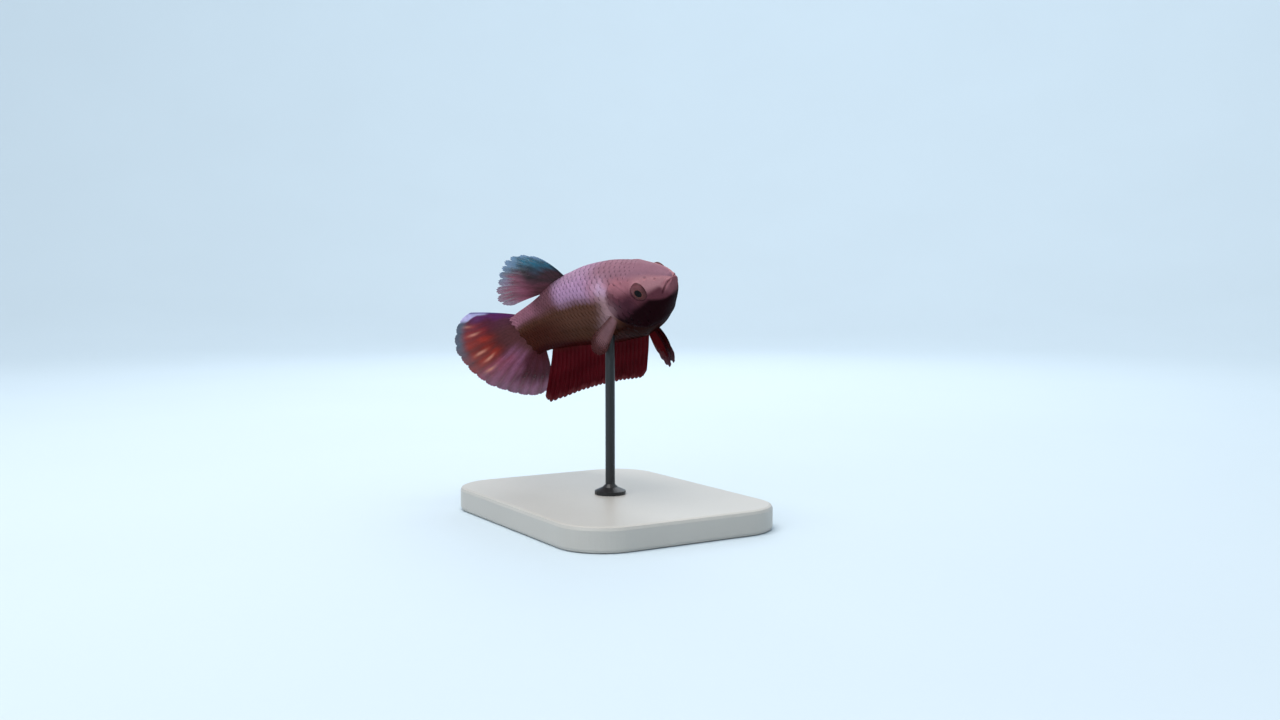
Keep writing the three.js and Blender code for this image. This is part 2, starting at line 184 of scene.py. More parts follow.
def relief(s, t):
    """How far the skin stands out from the plain form, in metres: sockets, lips, nostrils, gill covers with
    their slit and ridge, folds of the throat and the low swells at the roots of the fins."""
    y, z = body_form(s, t)
    # the eye's socket, with a raised rim
    eye = np.hypot(s - EYE_AT, z - EYE_LEVEL) * LENGTH
    high = -SOCKET_DEPTH * ease(eye, SOCKET_RADIUS + 0.15 * MM, SOCKET_RADIUS)
    high += 0.08 * MM * hump(eye - SOCKET_RADIUS - 0.28 * MM, 0.2 * MM)
    # the mouth's line between two lips, the crease behind it, the nostrils and the pores
    mouth_z = MOUTH_TIP + (MOUTH_CORNER[1] - MOUTH_TIP) * (s / MOUTH_CORNER[0]) ** 1.3
    off = (z - mouth_z) * LENGTH
    mouth = ease(s, MOUTH_CORNER[0] + 0.008, MOUTH_CORNER[0] - 0.004)
    high -= mouth * MOUTH_DEPTH * hump(off, 0.10 * MM)
    high += mouth * UPPER_LIP * hump(off - 0.30 * MM, 0.17 * MM)
    high += mouth * LOWER_LIP * hump(off + 0.36 * MM, 0.22 * MM)
    behind = s - JAW_CREASE[0]
    crease = np.hypot(0.55 * behind, z - JAW_CREASE[1] + 1.1 * behind) * LENGTH
    high -= CREASE_DEPTH * hump(crease, 0.22 * MM)
    for at, level, size in NOSTRILS:
        hole = np.hypot(s - at, z - level) * LENGTH
        high += 0.05 * MM * hump(hole - 1.6 * size * MM, 0.08 * MM) - NOSTRIL_DEPTH * hump(hole, size * MM)
    for turn in PORES:
        pore_s, pore_z = EYE_AT + PORE_RING * np.cos(turn), EYE_LEVEL + PORE_RING * np.sin(turn)
        high -= PORE_DEPTH * hump(np.hypot(s - pore_s, z - pore_z) * LENGTH, 0.11 * MM)
    # the gill cover's step with a slit behind it, and the bony ridge before it
    edge = (s - gill_edge(z)) * LENGTH
    level = ease(z, GILL_TOP + 0.03, GILL_TOP) * ease(z, GILL_BOTTOM - 0.02, GILL_BOTTOM + 0.01)
    plate = level * ease(edge, 0.05 * MM, -0.08 * MM) * ease(edge, -6.5 * MM, -0.5 * MM)
    high += GILL_STEP * plate - GILL_SLIT * level * hump(edge - 0.22 * MM, 0.16 * MM)
    ridge = (s - gill_ridge(z)) * LENGTH
    high -= level * RIDGE_GROOVE * hump(ridge, 0.16 * MM)
    high += level * 0.06 * MM * hump(ridge + 0.4 * MM, 0.3 * MM)
    # the folds of the throat, then the swells under the dorsal and the anal fin
    throat = ease(z, -0.085, -0.115) * ease(s, 0.09, 0.14) * ease(s, 0.27, 0.22)
    high += THROAT_FOLD * throat * np.sin((z + 0.55 * s) * LENGTH / THROAT_WAVE)
    swell = hump(y * LENGTH, SWELL_WIDTH)
    high += DORSAL_SWELL * swell * (z > 0) * ease(s, 0.55, 0.59) * ease(s, 0.8, 0.77)
    high += ANAL_SWELL * swell * (z < 0) * ease(s, 0.34, 0.38) * ease(s, 0.95, 0.92)
    return high


def skin_point(s, t, lift):
    """The body's surface moved along its normal by relief and lift, less the coat, on the stand."""
    return on_stand(body_point(s, t) + body_normal(s, t) * (relief(s, t) - COAT + lift)[..., None])


def colour(r, g, b):
    """A paint, named by its red, green and blue on a screen, in the light-true scale that shaders use."""
    c = np.array([r, g, b])
    return np.where(c <= 0.04045, c / 12.92, ((c + 0.055) / 1.055) ** 2.4)


BROW = colour(0.68, 0.47, 0.49)
CROWN = colour(0.52, 0.37, 0.42)
NAPE_SIDE = colour(0.635, 0.405, 0.44)
LILAC_SHEEN = colour(0.67, 0.51, 0.63)
LILAC_BACK = colour(0.60, 0.47, 0.56)
STALK_TOP = colour(0.42, 0.26, 0.29)
STALK_PINK = colour(0.62, 0.40, 0.46)
BOW_SHEEN_LILAC = colour(0.80, 0.66, 0.77)
BOW_SHEEN_ROSE = colour(0.66, 0.51, 0.53)
OLIVE_BROWN = colour(0.335, 0.205, 0.155)
OLIVE_IN_SHADE = colour(0.275, 0.155, 0.10)
LOW_BROWN = colour(0.245, 0.10, 0.065)
MAROON = colour(0.19, 0.03, 0.028)
BREAST = colour(0.125, 0.03, 0.025)
LIP = colour(0.62, 0.40, 0.425)
CHEEK_IN_SHADE = colour(0.365, 0.195, 0.23)
PLUM_IN_SHADE = colour(0.265, 0.13, 0.17)
THROAT_IN_SHADE = colour(0.09, 0.013, 0.033)


def blend(under, over, share):
    """Lays one paint over another by a share from 0 to 1."""
    return under + (over - under) * np.asarray(share)[..., None]


def cloud(x, y, z):
    """A soft deterministic mottle between -1 and 1, from crossed sine waves in fractions of the length."""
    a = np.sin(31 * x + 2.1 * np.sin(23 * z + 1.3)) + np.sin(43 * z + 1.7 * np.sin(29 * x + 0.4))
    b = np.sin(67 * x - 51 * z + 2.0 * np.sin(37 * y + 19 * x)) + np.sin(83 * z + 71 * x + 1.1)
    return 0.3 * a + 0.2 * b


def markings_and_painted_light(s, t):
    """The fish's colours by distance from the snout and height on the body: a pink head and lilac back over
    an olive-brown flank and a maroon belly, a pale bow behind the gill cover that fades into rose as it
    sweeps down and back, and a mask that darkens from the eyes over plum gill covers to a black throat.
    Light from above is painted in too: the lilac of the upper flank and the pale bow are painted sheen, and
    the darkening down the flank, over the mask and to the throat is partly painted shade."""
    y, z = body_form(s, t)
    top, bottom, _ = outline(s)
    mottle = cloud(s, y, z)
    line = (z - bottom) / (top - bottom) + 0.02 * mottle  # 0 at the belly, 1 at the back
    # along the back: brow, crown and nape, lilac from the gill cover on, which is a painted sheen of the
    # upper flank lit from above, and the stalk
    paint = blend(BROW, NAPE_SIDE, ease(s, 0.11, 0.17))
    paint = blend(paint, CROWN, ease(line, 0.85, 0.97))
    lilac_sheen = blend(LILAC_SHEEN, LILAC_BACK, ease(line, 0.92, 1.0))
    paint = blend(paint, lilac_sheen, ease(s, 0.29, 0.43))
    paint = blend(paint, STALK_TOP, ease(s, 0.60, 0.70))
    paint = blend(paint, STALK_PINK, 0.8 * ease(s, 0.80, 0.90) * ease(line, 0.70, 0.86))
    # from the flank down to the belly and the breast, darker downwards: partly the fish's own colours, partly
    # painted shade where the light from above falls off
    paint = blend(paint, OLIVE_BROWN, ease(s, 0.20, 0.29) * ease(line, 0.84, 0.67))
    paint = blend(paint, OLIVE_IN_SHADE, ease(line, 0.50, 0.34))
    paint = blend(paint, LOW_BROWN, ease(s, 0.58, 0.92) * ease(line, 0.80, 0.50))
    paint = blend(paint, MAROON, ease(line, 0.35 - 0.12 * ease(s, 0.45, 0.65), 0.11))
    paint = blend(paint, BREAST, ease(s, 0.42, 0.31) * ease(line, 0.42, 0.28))
    # the head's mask, whose upper limits brow and chin change with the distance from the snout: partly the
    # mask's own dark colour, partly painted shade on cheeks, gill covers and throat below the lit brow
    head = ease(s - gill_edge(z), 0.005, -0.007)
    brow = 0.585 + 0.145 * ease(s, 0.09, 0.16) + 0.06 * ease(s, 0.17, 0.25) - 0.14 * ease(s, 0.05, 0.025)
    paint = blend(paint, CHEEK_IN_SHADE, head * ease(line, brow + 0.09, brow - 0.09))
    paint = blend(paint, PLUM_IN_SHADE, head * ease(s, 0.15, 0.20) * ease(line, 0.70, 0.60))
    chin = 0.45 - 4.8 * np.maximum(0.115 - s, 0)
    paint = blend(paint, THROAT_IN_SHADE, head * ease(line, chin + 0.065, chin - 0.065))
    lips = ease(s, 0.05, 0.015) * ease(line, 0.72, 0.58)
    paint = blend(paint, LIP, lips * (0.4 + 0.6 * ease(line, 0.18, 0.42)))
    # the pale bow, a painted sheen
    bow_at = 0.299 + 0.85 * np.maximum(0.62 - line, 0) ** 1.48
    bow = hump(s - bow_at, 0.031 + 0.017 * ease(line, 0.74, 0.52))
    bow = bow * ease(line, 0.22, 0.44) * ease(line, 1.0, 0.82) * (1 - 0.45 * head)
    pale = blend(BOW_SHEEN_LILAC, BOW_SHEEN_ROSE, ease(line, 0.84, 0.70))
    return blend(paint, pale, 0.88 * bow) * (1 + 0.07 * mottle)[..., None]


END_STRIP = 0.004  # share of the UV map kept for closing faces


def rings(row_place, cols):
    """Faces and UV places of stacked rings of points, each ring closed on itself and both ends closed
    straight across. The map runs round the rings and along row_place; the ends use the strips beside it."""
    rows = len(row_place)
    i, j = np.meshgrid(np.arange(rows - 1), np.arange(cols), indexing="ij")
    corners = [(i, j), (i, j + 1), (i + 1, j + 1), (i + 1, j)]
    faces = np.stack([a * cols + b % cols for a, b in corners], -1).reshape(-1, 4)
    row_place = END_STRIP + (1 - 2 * END_STRIP) * row_place
    uv = np.stack([np.stack([b / cols, row_place[a]], -1) for a, b in corners], 2).reshape(-1, 4, 2)
    j = np.arange(cols // 2 - 1)
    pairs = [(j, 0), (cols - 1 - j, 1), (cols - 2 - j, 1), (j + 1, 0)]
    end = np.stack([a for a, _ in pairs], -1)
    side = [np.minimum(a, cols - 1 - a) / cols for a, _ in pairs]
    low = np.stack([np.stack([x, b * END_STRIP * 0.8 + 0 * x], -1) for x, (_, b) in zip(side, pairs)], 1)
    high = low * (1, -1) + (0, 1)
    faces = np.concatenate([faces, end, end[:, ::-1] + (rows - 1) * cols])
    return faces, np.concatenate([uv, low, high[:, ::-1]])


def make_piece(name, points, faces, uv, paints, numbers=()):
    """A mesh from points and four-cornered faces, turned outwards, with its UV map (a place for each face
    corner), its colours and named single numbers, both by point."""
    mesh = bpy.data.meshes.new(name)
    p = points.reshape(-1, 3)
    a, b, c, d = (p[faces[:, k]] for k in range(4))
    volume = (np.cross(b - a, c - a) * a).sum() + (np.cross(c - a, d - a) * a).sum()
    if volume < 0:
        faces, uv = faces[:, ::-1], uv[:, ::-1]
    mesh.from_pydata(p.tolist(), [], faces.tolist())
    mesh.polygons.foreach_set("use_smooth", np.ones(len(faces), bool))
    mesh.uv_layers.new(name="OFBake").data.foreach_set("uv", uv.ravel())
    rgba = np.ones((len(p), 4))
    rgba[:, :3] = np.clip(paints.reshape(-1, 3), 0, 1)
    mesh.color_attributes.new("markings_and_painted_light", "FLOAT_COLOR", "POINT").data.foreach_set("color", rgba.ravel())
    for label, values in numbers:
        mesh.attributes.new(label, "FLOAT", "POINT").data.foreach_set("value", values.ravel())
    piece = bpy.data.objects.new(name, mesh)
    bpy.context.scene.collection.objects.link(piece)
    return piece


def wet_paint(name, coat, coat_roughness):
    """A matt paint whose gloss comes from a thin clear coat alone."""
    m = bpy.data.materials.new(name)
    m.use_nodes = True
    shader = m.node_tree.nodes["Principled BSDF"]
    shader.inputs["Roughness"].default_value = 0.5
    shader.inputs["Specular IOR Level"].default_value = 0.0
    shader.inputs["Coat Weight"].default_value = coat
    shader.inputs["Coat Roughness"].default_value = coat_roughness
    return m


def read_paint(m):
    """The piece's markings, with any painted light and shade in them, a colour for each point."""
    node = m.node_tree.nodes.new("ShaderNodeAttribute")
    node.attribute_name = "markings_and_painted_light"
    return node.outputs["Color"]


def noise(m, grain, detail):
    """A noise from 0 to 1 on the piece's own coordinates, with spots about grain across."""
    nodes = m.node_tree.nodes
    spots = nodes.new("ShaderNodeTexNoise")
    spots.inputs["Scale"].default_value = 1 / grain
    spots.inputs["Detail"].default_value = detail
    m.node_tree.links.new(nodes.new("ShaderNodeTexCoord").outputs["Object"], spots.inputs["Vector"])
    return spots.outputs["Fac"]


def between(m, share, start, end):
    """start where the share is 0, end where it is 1, and straight between them."""
    node = m.node_tree.nodes.new("ShaderNodeMapRange")
    node.inputs["To Min"].default_value = start
    node.inputs["To Max"].default_value = end
    m.node_tree.links.new(share, node.inputs["Value"])
    return node.outputs["Result"]


def speckled_paint(m, speckle, spread):
    """Base colour: the markings times 1 - spread to 1 + spread, as the speckle goes from 0 to 1."""
    nodes, links = m.node_tree.nodes, m.node_tree.links
    mixed = nodes.new("ShaderNodeVectorMath")
    mixed.operation = "SCALE"
    links.new(read_paint(m), mixed.inputs[0])
    links.new(between(m, speckle, 1 - spread, 1 + spread), mixed.inputs["Scale"])
    links.new(mixed.outputs["Vector"], nodes["Principled BSDF"].inputs["Base Color"])


def add_bump(m, height, strength, distance):
    """Bump by a height from 0 to 1, which stands for the distance."""
    bump = m.node_tree.nodes.new("ShaderNodeBump")
    bump.inputs["Strength"].default_value = strength
    bump.inputs["Distance"].default_value = distance
    m.node_tree.links.new(height, bump.inputs["Height"])
    m.node_tree.links.new(bump.outputs["Normal"], m.node_tree.nodes["Principled BSDF"].inputs["Normal"])


def skin_material(name, coat, grain):
    """Painted skin: the markings, faintly speckled, with fine pores as bump and a thin wet coat."""
    m = wet_paint(name, coat, 0.22)
    speckle = noise(m, grain, 4)
    speckled_paint(m, speckle, 0.18)
    add_bump(m, speckle, 0.25, 0.04 * MM)
    return m


HEAD_ROWS, TRUNK_ROWS, CAP_ROWS, AROUND = 165, 110, 9, 256
NOSE_AT, NECK_AT = 0.010, 0.33  # the snout is rounded off ahead of NOSE_AT; rows are closer up to NECK_AT
STUMP = 0.015  # how far the end of the stalk bulges into the tail fin
head_s = np.linspace(NOSE_AT, NECK_AT, HEAD_ROWS)
trunk_s = np.linspace(NECK_AT, 1.0, TRUNK_ROWS)[1:]
skin_t = (np.arange(AROUND) + 0.5) / AROUND
skin_s = np.concatenate([head_s, trunk_s])
body_rings = skin_point(*np.meshgrid(skin_s, skin_t, indexing="ij"), 0.0)


def cap(ring, towards):
    """Rounds an end off: the ring shrinks to its middle as a sine while it bulges ahead as a cosine."""
    smallest = 0.06  # the innermost ring stays open this much, and is closed straight across
    turn = np.linspace(smallest, np.pi / 2, CAP_ROWS + 1)[:-1, None, None]
    middle = ring.mean(0)
    return middle + (ring - middle) * np.sin(turn) + towards * np.cos(turn)


def run_of_spine(s, ahead):
    """The step forwards along the spine at s by a share of the fish's length, on the stand."""
    return on_stand(place(s - ahead, 0.0, 0.0)) - on_stand(place(s, 0.0, 0.0))


nose = cap(body_rings[0], run_of_spine(NOSE_AT, NOSE_AT))
stump = cap(body_rings[-1], run_of_spine(1.0, -STUMP))[::-1]
skin_points = np.concatenate([nose, body_rings, stump])
s_all = np.concatenate([np.full(CAP_ROWS, NOSE_AT), skin_s, np.full(CAP_ROWS, 1.0)])


def unwrap(s):
    """Place along the skin's UV map: straight, with a strip left at both ends for the caps."""
    return 0.03 + 0.94 * s


nose_place = np.linspace(0, unwrap(NOSE_AT), CAP_ROWS + 1)[:-1]
stump_place = np.linspace(unwrap(1.0), 1, CAP_ROWS + 1)[1:]
row_place = np.concatenate([nose_place, unwrap(skin_s), stump_place])
skin_faces, skin_uv = rings(row_place, AROUND)
skin_paint = markings_and_painted_light(*np.meshgrid(s_all, skin_t, indexing="ij"))
skin = make_piece("skin", skin_points, skin_faces, skin_uv, skin_paint)
skin.data.materials.append(skin_material("skin_paint", 0.06, 0.22 * MM))
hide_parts("head", "lower_jaw", "gill_cover_left", "gill_cover_right", "trunk", "tail_stalk")
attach(skin, "root")


# ---- Scales ----
# Thin round-ended plates of horn, each rooted in the skin under the one ahead of it and painted like the
# skin there. They cover nape, gill covers, trunk and stalk in staggered rings that shrink to the tail.

SCALES_AROUND = 17
FIRST_ROW = 0.062
SCALE_RUN, SCALE_HALF = 0.96, 0.56  # length and half width of a scale, as shares of the spacing round a ring
ROW_SHARE = 0.32  # spacing of the rings of scales, as a share of the same
SCALE_LIFT = 0.07 * MM  # how far a scale's free edge rises from its root
SCALE_CAMBER = 0.022 * MM
SCALE_THICK = 0.03 * MM
SCALE_SINK = 0.03 * MM  # depth of the root in the skin
BARE_ROUND_EYE = 2.95 * MM


def girth(s):
    """Length round the body at s, as that of an ellipse, in metres."""
    tall = smooth_line(s, STATIONS[:, 0], (STATIONS[:, 1] + STATIONS[:, 2]) / 2)
    return 2 * np.pi * LENGTH * np.sqrt((tall**2 + outline(s)[2] ** 2) / 2)


row_s = [FIRST_ROW]
while row_s[-1] < 1.0:
    row_s.append(row_s[-1] + ROW_SHARE * girth(row_s[-1]) / SCALES_AROUND / LENGTH)
row_s = np.array(row_s)
root_s, root_t = np.meshgrid(row_s, (np.arange(SCALES_AROUND) + 0.25) / SCALES_AROUND, indexing="ij")
root_t = root_t + 0.5 / SCALES_AROUND * (np.arange(len(row_s)) % 2)[:, None]
root_s, root_t = root_s.ravel(), root_t.ravel()
_, root_z = body_form(root_s, root_t)
scale_width = girth(root_s) / SCALES_AROUND  # spacing round the ring
tip_s = root_s + SCALE_RUN * scale_width / LENGTH
mid_s = (root_s + tip_s) / 2

# The bare skin: snout, lips and throat, a ring round the eye, and both sides of the gill cover's edges.
bare = np.hypot(mid_s - EYE_AT, root_z - EYE_LEVEL) * LENGTH < BARE_ROUND_EYE
crown = root_z > 0.6 * outline(root_s)[0]
bare |= root_s < np.where(crown, 0.10 + 0.008 * np.sin(40 * root_t), 0.125)
bare |= (root_s < 0.25) & (root_z < -0.062 - 0.25 * (root_s - 0.13))
bare |= (root_z < GILL_BOTTOM + 0.01) & (root_s < gill_edge(root_z))
beside = root_z < GILL_TOP + 0.02
bare |= beside & (tip_s > gill_edge(root_z) - 0.006) & (root_s < gill_edge(root_z) + 0.003)
bare |= beside & (root_s < gill_ridge(root_z) + 0.006) & (tip_s > gill_ridge(root_z) - 0.006)
kept = ~bare
root_s, root_t, scale_width = root_s[kept], root_t[kept], scale_width[kept]

# One scale's plan: a runs from the root (0) to the free edge (1), b across (-1 to 1).
SIDE = 5
plan_a, plan_b = np.meshgrid(np.linspace(0, 1, SIDE), np.linspace(-1, 1, SIDE), indexing="ij")
half = SCALE_HALF * np.sqrt(np.clip(1 - ((plan_a - 0.25) / 0.80) ** 2, 0.03, 1))
out_a = plan_a * (1 - 0.16 * plan_b**2)
inner = (np.abs(plan_b) < 0.99) & (plan_a > 0.01) & (plan_a < 0.99)
top_lift = SCALE_LIFT * plan_a * (1 - 0.7 * plan_b**4)
top_lift += SCALE_CAMBER * (1 - plan_b**2) * np.sin(np.pi * plan_a)
under_lift = np.where(inner, top_lift - SCALE_THICK, top_lift)
stand_off = 0.5 + 0.5 * ease(root_s, 0.10, 0.34)  # scales lie closer to the skin on the head


def plan_points(lift):
    """All scales at once, by the skin's own surface: one row of the array for each scale."""
    s = root_s[:, None] + (scale_width / LENGTH)[:, None] * SCALE_RUN * out_a.ravel()
    t = root_t[:, None] + plan_b.ravel() * half.ravel() / SCALES_AROUND
    return skin_point(s, t, stand_off[:, None] * lift.ravel() - SCALE_SINK), s, t


top_points, scale_s, scale_t = plan_points(top_lift)
under_points, _, _ = plan_points(under_lift)
scale_points = np.concatenate([top_points, under_points], 1)
grid = np.arange(SIDE * SIDE).reshape(SIDE, SIDE)
top_quads = np.stack([grid[:-1, :-1], grid[:-1, 1:], grid[1:, 1:], grid[1:, :-1]], -1).reshape(-1, 4)
under = np.where(inner.ravel(), np.arange(SIDE * SIDE) + SIDE * SIDE, np.arange(SIDE * SIDE))
plan_quads = np.concatenate([top_quads, under[top_quads][:, ::-1]])
scale_numbers = np.arange(len(root_s))
scale_faces = (plan_quads[None] + (scale_numbers * 2 * SIDE * SIDE)[:, None, None]).reshape(-1, 4)

# A scale's paint is partly its root's, so that it reads as one plate; its edge is a little darker.
scale_paint = blend(markings_and_painted_light(scale_s, scale_t), markings_and_painted_light(root_s[:, None], root_t[:, None]), 0.35)
edge_shade = (0.02 + 0.08 * ease(root_s, 0.18, 0.34))[:, None] * (plan_a.ravel() > 0.9)
# the middle of each scale is painted lighter than its sides: a painted sheen
shine = 1.06 - edge_shade - 0.08 * np.abs(plan_b.ravel()) ** 2
each = 1 + 0.07 * np.sin(12.9898 * scale_numbers) * np.cos(78.233 * root_t)
scale_paint = scale_paint * shine[..., None] * each[:, None, None]
# The underside is painted a fifth darker, as painted shade under the plate.
scale_paint = np.concatenate([scale_paint, scale_paint * 0.8], 1)

# Each scale's patch of the UV map lies at its root's place on the skin's unwrap.
PATCH = 0.003
patch = np.stack([plan_b.ravel() * 0.5, out_a.ravel() - 0.5], -1) * PATCH
patch = np.concatenate([patch, patch])
root_uv = np.stack([np.mod(root_t, 1), END_STRIP + (1 - 2 * END_STRIP) * unwrap(root_s)], -1)
point_uv = root_uv[:, None] + patch[None]
scale_uv = point_uv.reshape(-1, 2)[scale_faces]

# The top and the underside share their edge, so the underside's own edge points are left out.
used = np.zeros(scale_points.size // 3, bool)
used[scale_faces.ravel()] = True
renumber = np.cumsum(used) - 1
scales = make_piece(
    "scales",
    scale_points.reshape(-1, 3)[used],
    renumber[scale_faces],
    scale_uv,
    scale_paint.reshape(-1, 3)[used],
)
scales.data.materials.append(skin_material("scale_horn", 0.07, 0.3 * MM))
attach(scales, "root")


# ---- Eyes ----
# Two glossy balls, flattened like a fish's eye and pressed into the sockets of the skin. Under the gloss
# they are painted: a black pupil, a thin copper ring and a dark red-brown iris with fine rays.

EYE_RADIUS, EYE_DEPTH = 1.62 * MM, 1.08 * MM
EYE_FORWARD = np.radians(16)
PUPIL, COPPER_RING = 0.40, 0.45  # shares of the eye's radius
EYE_RINGS, EYE_SPOKES = 72, 96
POLE = 0.02  # angle at which the ball's rings stop short of its axis
BLACK = colour(0.03, 0.02, 0.03)
COPPER = colour(0.46, 0.26, 0.22)
IRIS = colour(0.31, 0.165, 0.18)
ROSE_IRIS = colour(0.47, 0.28, 0.30)
EYE_RIM = colour(0.17, 0.08, 0.10)


def eye_ball(side):
    """Rings round the axis that points out and a little ahead, from the pupil to the back. The depth goes
    with the root of one less the fifth power of the radius, so the ball is flatter than an ellipsoid."""
    polar = np.linspace(POLE, np.pi - POLE, EYE_RINGS)
    spin = np.linspace(0, 2 * np.pi, EYE_SPOKES, endpoint=False)
    polar, spin = np.meshgrid(polar, spin, indexing="ij")
    out = np.array([np.sin(EYE_FORWARD), side * np.cos(EYE_FORWARD), 0])
    ahead = np.array([np.cos(EYE_FORWARD), -side * np.sin(EYE_FORWARD), 0])
    up = np.array([0, 0, 1])
    depth = np.sign(np.cos(polar)) * np.sqrt(1 - np.sin(polar) ** 5)
    spoke = np.cos(spin)[..., None] * ahead + np.sin(spin)[..., None] * up
    flat = EYE_RADIUS * np.sin(polar)[..., None] * spoke
    centre = place(EYE_AT, side * EYE_OUT, EYE_LEVEL)
    return on_stand(centre + flat + EYE_DEPTH * depth[..., None] * out), polar, spin


def iris_paint(polar, spin):
    """Paint by distance from the pupil's middle, with fine rays round the iris and a dark plum rim; the
    upper part of the iris is rosy, like the brow over it."""
    away = np.sin(polar)
    upper = ease(np.sin(spin), -0.1, 0.8) * (polar < np.pi / 2)
    flecks = 0.5 + 0.5 * np.sin(23 * spin + 2 * np.sin(7 * spin)) * np.sin(14 * away)
    paint = blend(IRIS, ROSE_IRIS, 0.8 * upper)
    paint = blend(paint, COPPER, 0.3 * flecks * ease(away, 0.9, 0.5))
    paint = blend(paint, COPPER, 0.7 * ease(away, COPPER_RING + 0.05, COPPER_RING))
    paint = blend(paint, BLACK, ease(away, PUPIL + 0.05, PUPIL - 0.02))
    rim = ease(away, 0.76, 0.94) * (1 - 0.5 * upper)
    return blend(paint, EYE_RIM, np.maximum(rim, polar > np.pi / 2))


eye_gloss = wet_paint("eye_gloss", 0.2, 0.03)
eye_base = eye_gloss.node_tree.nodes["Principled BSDF"].inputs["Base Color"]
eye_gloss.node_tree.links.new(read_paint(eye_gloss), eye_base)

for side, word in ((1, "left"), (-1, "right")):
    ball, polar, spin = eye_ball(side)
    ball_faces, ball_uv = rings(np.linspace(0, 1, len(ball)), ball.shape[1])
    eye = make_piece("eyeball_" + word, ball, ball_faces, ball_uv, iris_paint(polar, spin))
    eye.data.materials.append(eye_gloss)
    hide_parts("eye_" + word)
    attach(eye, "root")


# ---- Fins along the middle ----
# Dorsal, tail and anal fin: thin skin stretched over bony rays that fan out from a fleshy root and fork
# towards the margin. Each is cast as one sheet that grows into the body and thins to a notched margin.

ROOT_DEPTH = 0.035  # how far the sheets reach into the body
MEMBRANE, RAY_HEIGHT, RAY_WIDTH = 0.05 * MM, 0.10 * MM, 0.12 * MM  # the first two to each side
ROOT_FLESH = 0.07 * MM
RAY_FOLD, LONG_FOLD = 0.07 * MM, 0.10 * MM  # how far the sheet waves between its rays and along the fin

# A root is the place and level of the first and the last ray, a lie their angles in degrees, and an arch
# how much they bend. Lengths of rays follow from front to rear, then the rays' number, the share of their
# length at which they fork, and the depth of the notches.
DORSAL_ROOT, DORSAL_LIE, DORSAL_ARCH = ((0.58, 0.149), (0.775, 0.12)), (75, 3), 24
DORSAL_LENGTHS = ((0, 0.12, 0.3, 0.5, 0.7, 0.87, 1), (0.1, 0.175, 0.235, 0.265, 0.285, 0.28, 0.21))
DORSAL_RAYS, DORSAL_FORK, DORSAL_NOTCH = 10, 0.35, 0.16
CAUDAL_ROOT, CAUDAL_LIE, CAUDAL_ARCH = ((0.985, 0.088), (0.985, -0.088)), (36, -52), 0
CAUDAL_LENGTHS = ((0, 0.1, 0.3, 0.5, 0.7, 0.9, 1), (0.2, 0.267, 0.32, 0.325, 0.305, 0.28, 0.24))
CAUDAL_RAYS, CAUDAL_FORK, CAUDAL_NOTCH = 13, 0.3, 0.05
CAUDAL_CURL = 0.17  # how far the lower corner swings to the fish's left
ANAL_ROOT, ANAL_LIE, ANAL_ARCH = ((0.355, -0.168), (0.955, -0.1045)), (-39, -41), 0
ANAL_LENGTHS = ((0, 0.05, 0.3, 0.7, 0.93, 1), (0.25, 0.29, 0.29, 0.295, 0.28, 0.235))
ANAL_RAYS, ANAL_FORK, ANAL_NOTCH = 24, 0.5, 0.045


def fork_gap(u, v, rays, fork):
    """Distance to the nearest ray, in ray spacings. A ray lies in the middle of its share of u; it forks
    in two from v = fork on and in four a little further, by folding the distance at each fork."""
    across = np.abs(np.mod(u * rays, 1) - 0.5)
    across = np.abs(across - 0.24 * ease(v, fork, fork + 0.5))
    return np.abs(across - 0.12 * ease(v, fork + 0.22, 1.1))


def by_ray(ray):
    """A number from 0 to 1 that differs from ray to ray, from two crossed waves."""
    return 0.5 + 0.5 * np.sin(2.4 * ray) * np.cos(5.1 * ray + 1)


def notch(u, rays, fork, depth):
    """Share by which the margin falls back: a little between the twigs of a ray, more between whole rays,
    where the distance to the ray counts squared, and by each ray's own lack of length."""
    twigs = fork_gap(u, 1.0, rays, fork) / 0.13  # about 1 midway between two twigs
    lobe = (2 * np.mod(u * rays, 1) - 1) ** 2
    own = by_ray(np.floor(u * rays))
    return depth * (0.35 * twigs + 0.8 * lobe + 0.44 * own) / 1.85  # the sum seldom passes 1.85


def fan(root, lie, arch, lengths, u, v, cut):
    """Distance along the spine and height of a fin's middle sheet. A ray leaves the line of roots at an
    angle that turns evenly from front to rear, arches over by arch degrees, and is as long as lengths say."""
    (s0, z0), (s1, z1) = root
    angle = np.radians(lie[0] + (lie[1] - lie[0]) * u + arch * (1 - u) * (0.5 - v))
    long = smooth_line(u, np.array(lengths[0]), np.array(lengths[1])) * (1 - cut)
    reach = long * v - ROOT_DEPTH * (1 - v)
    return s0 + (s1 - s0) * u + reach * np.cos(angle), z0 + (z1 - z0) * u + reach * np.sin(angle)


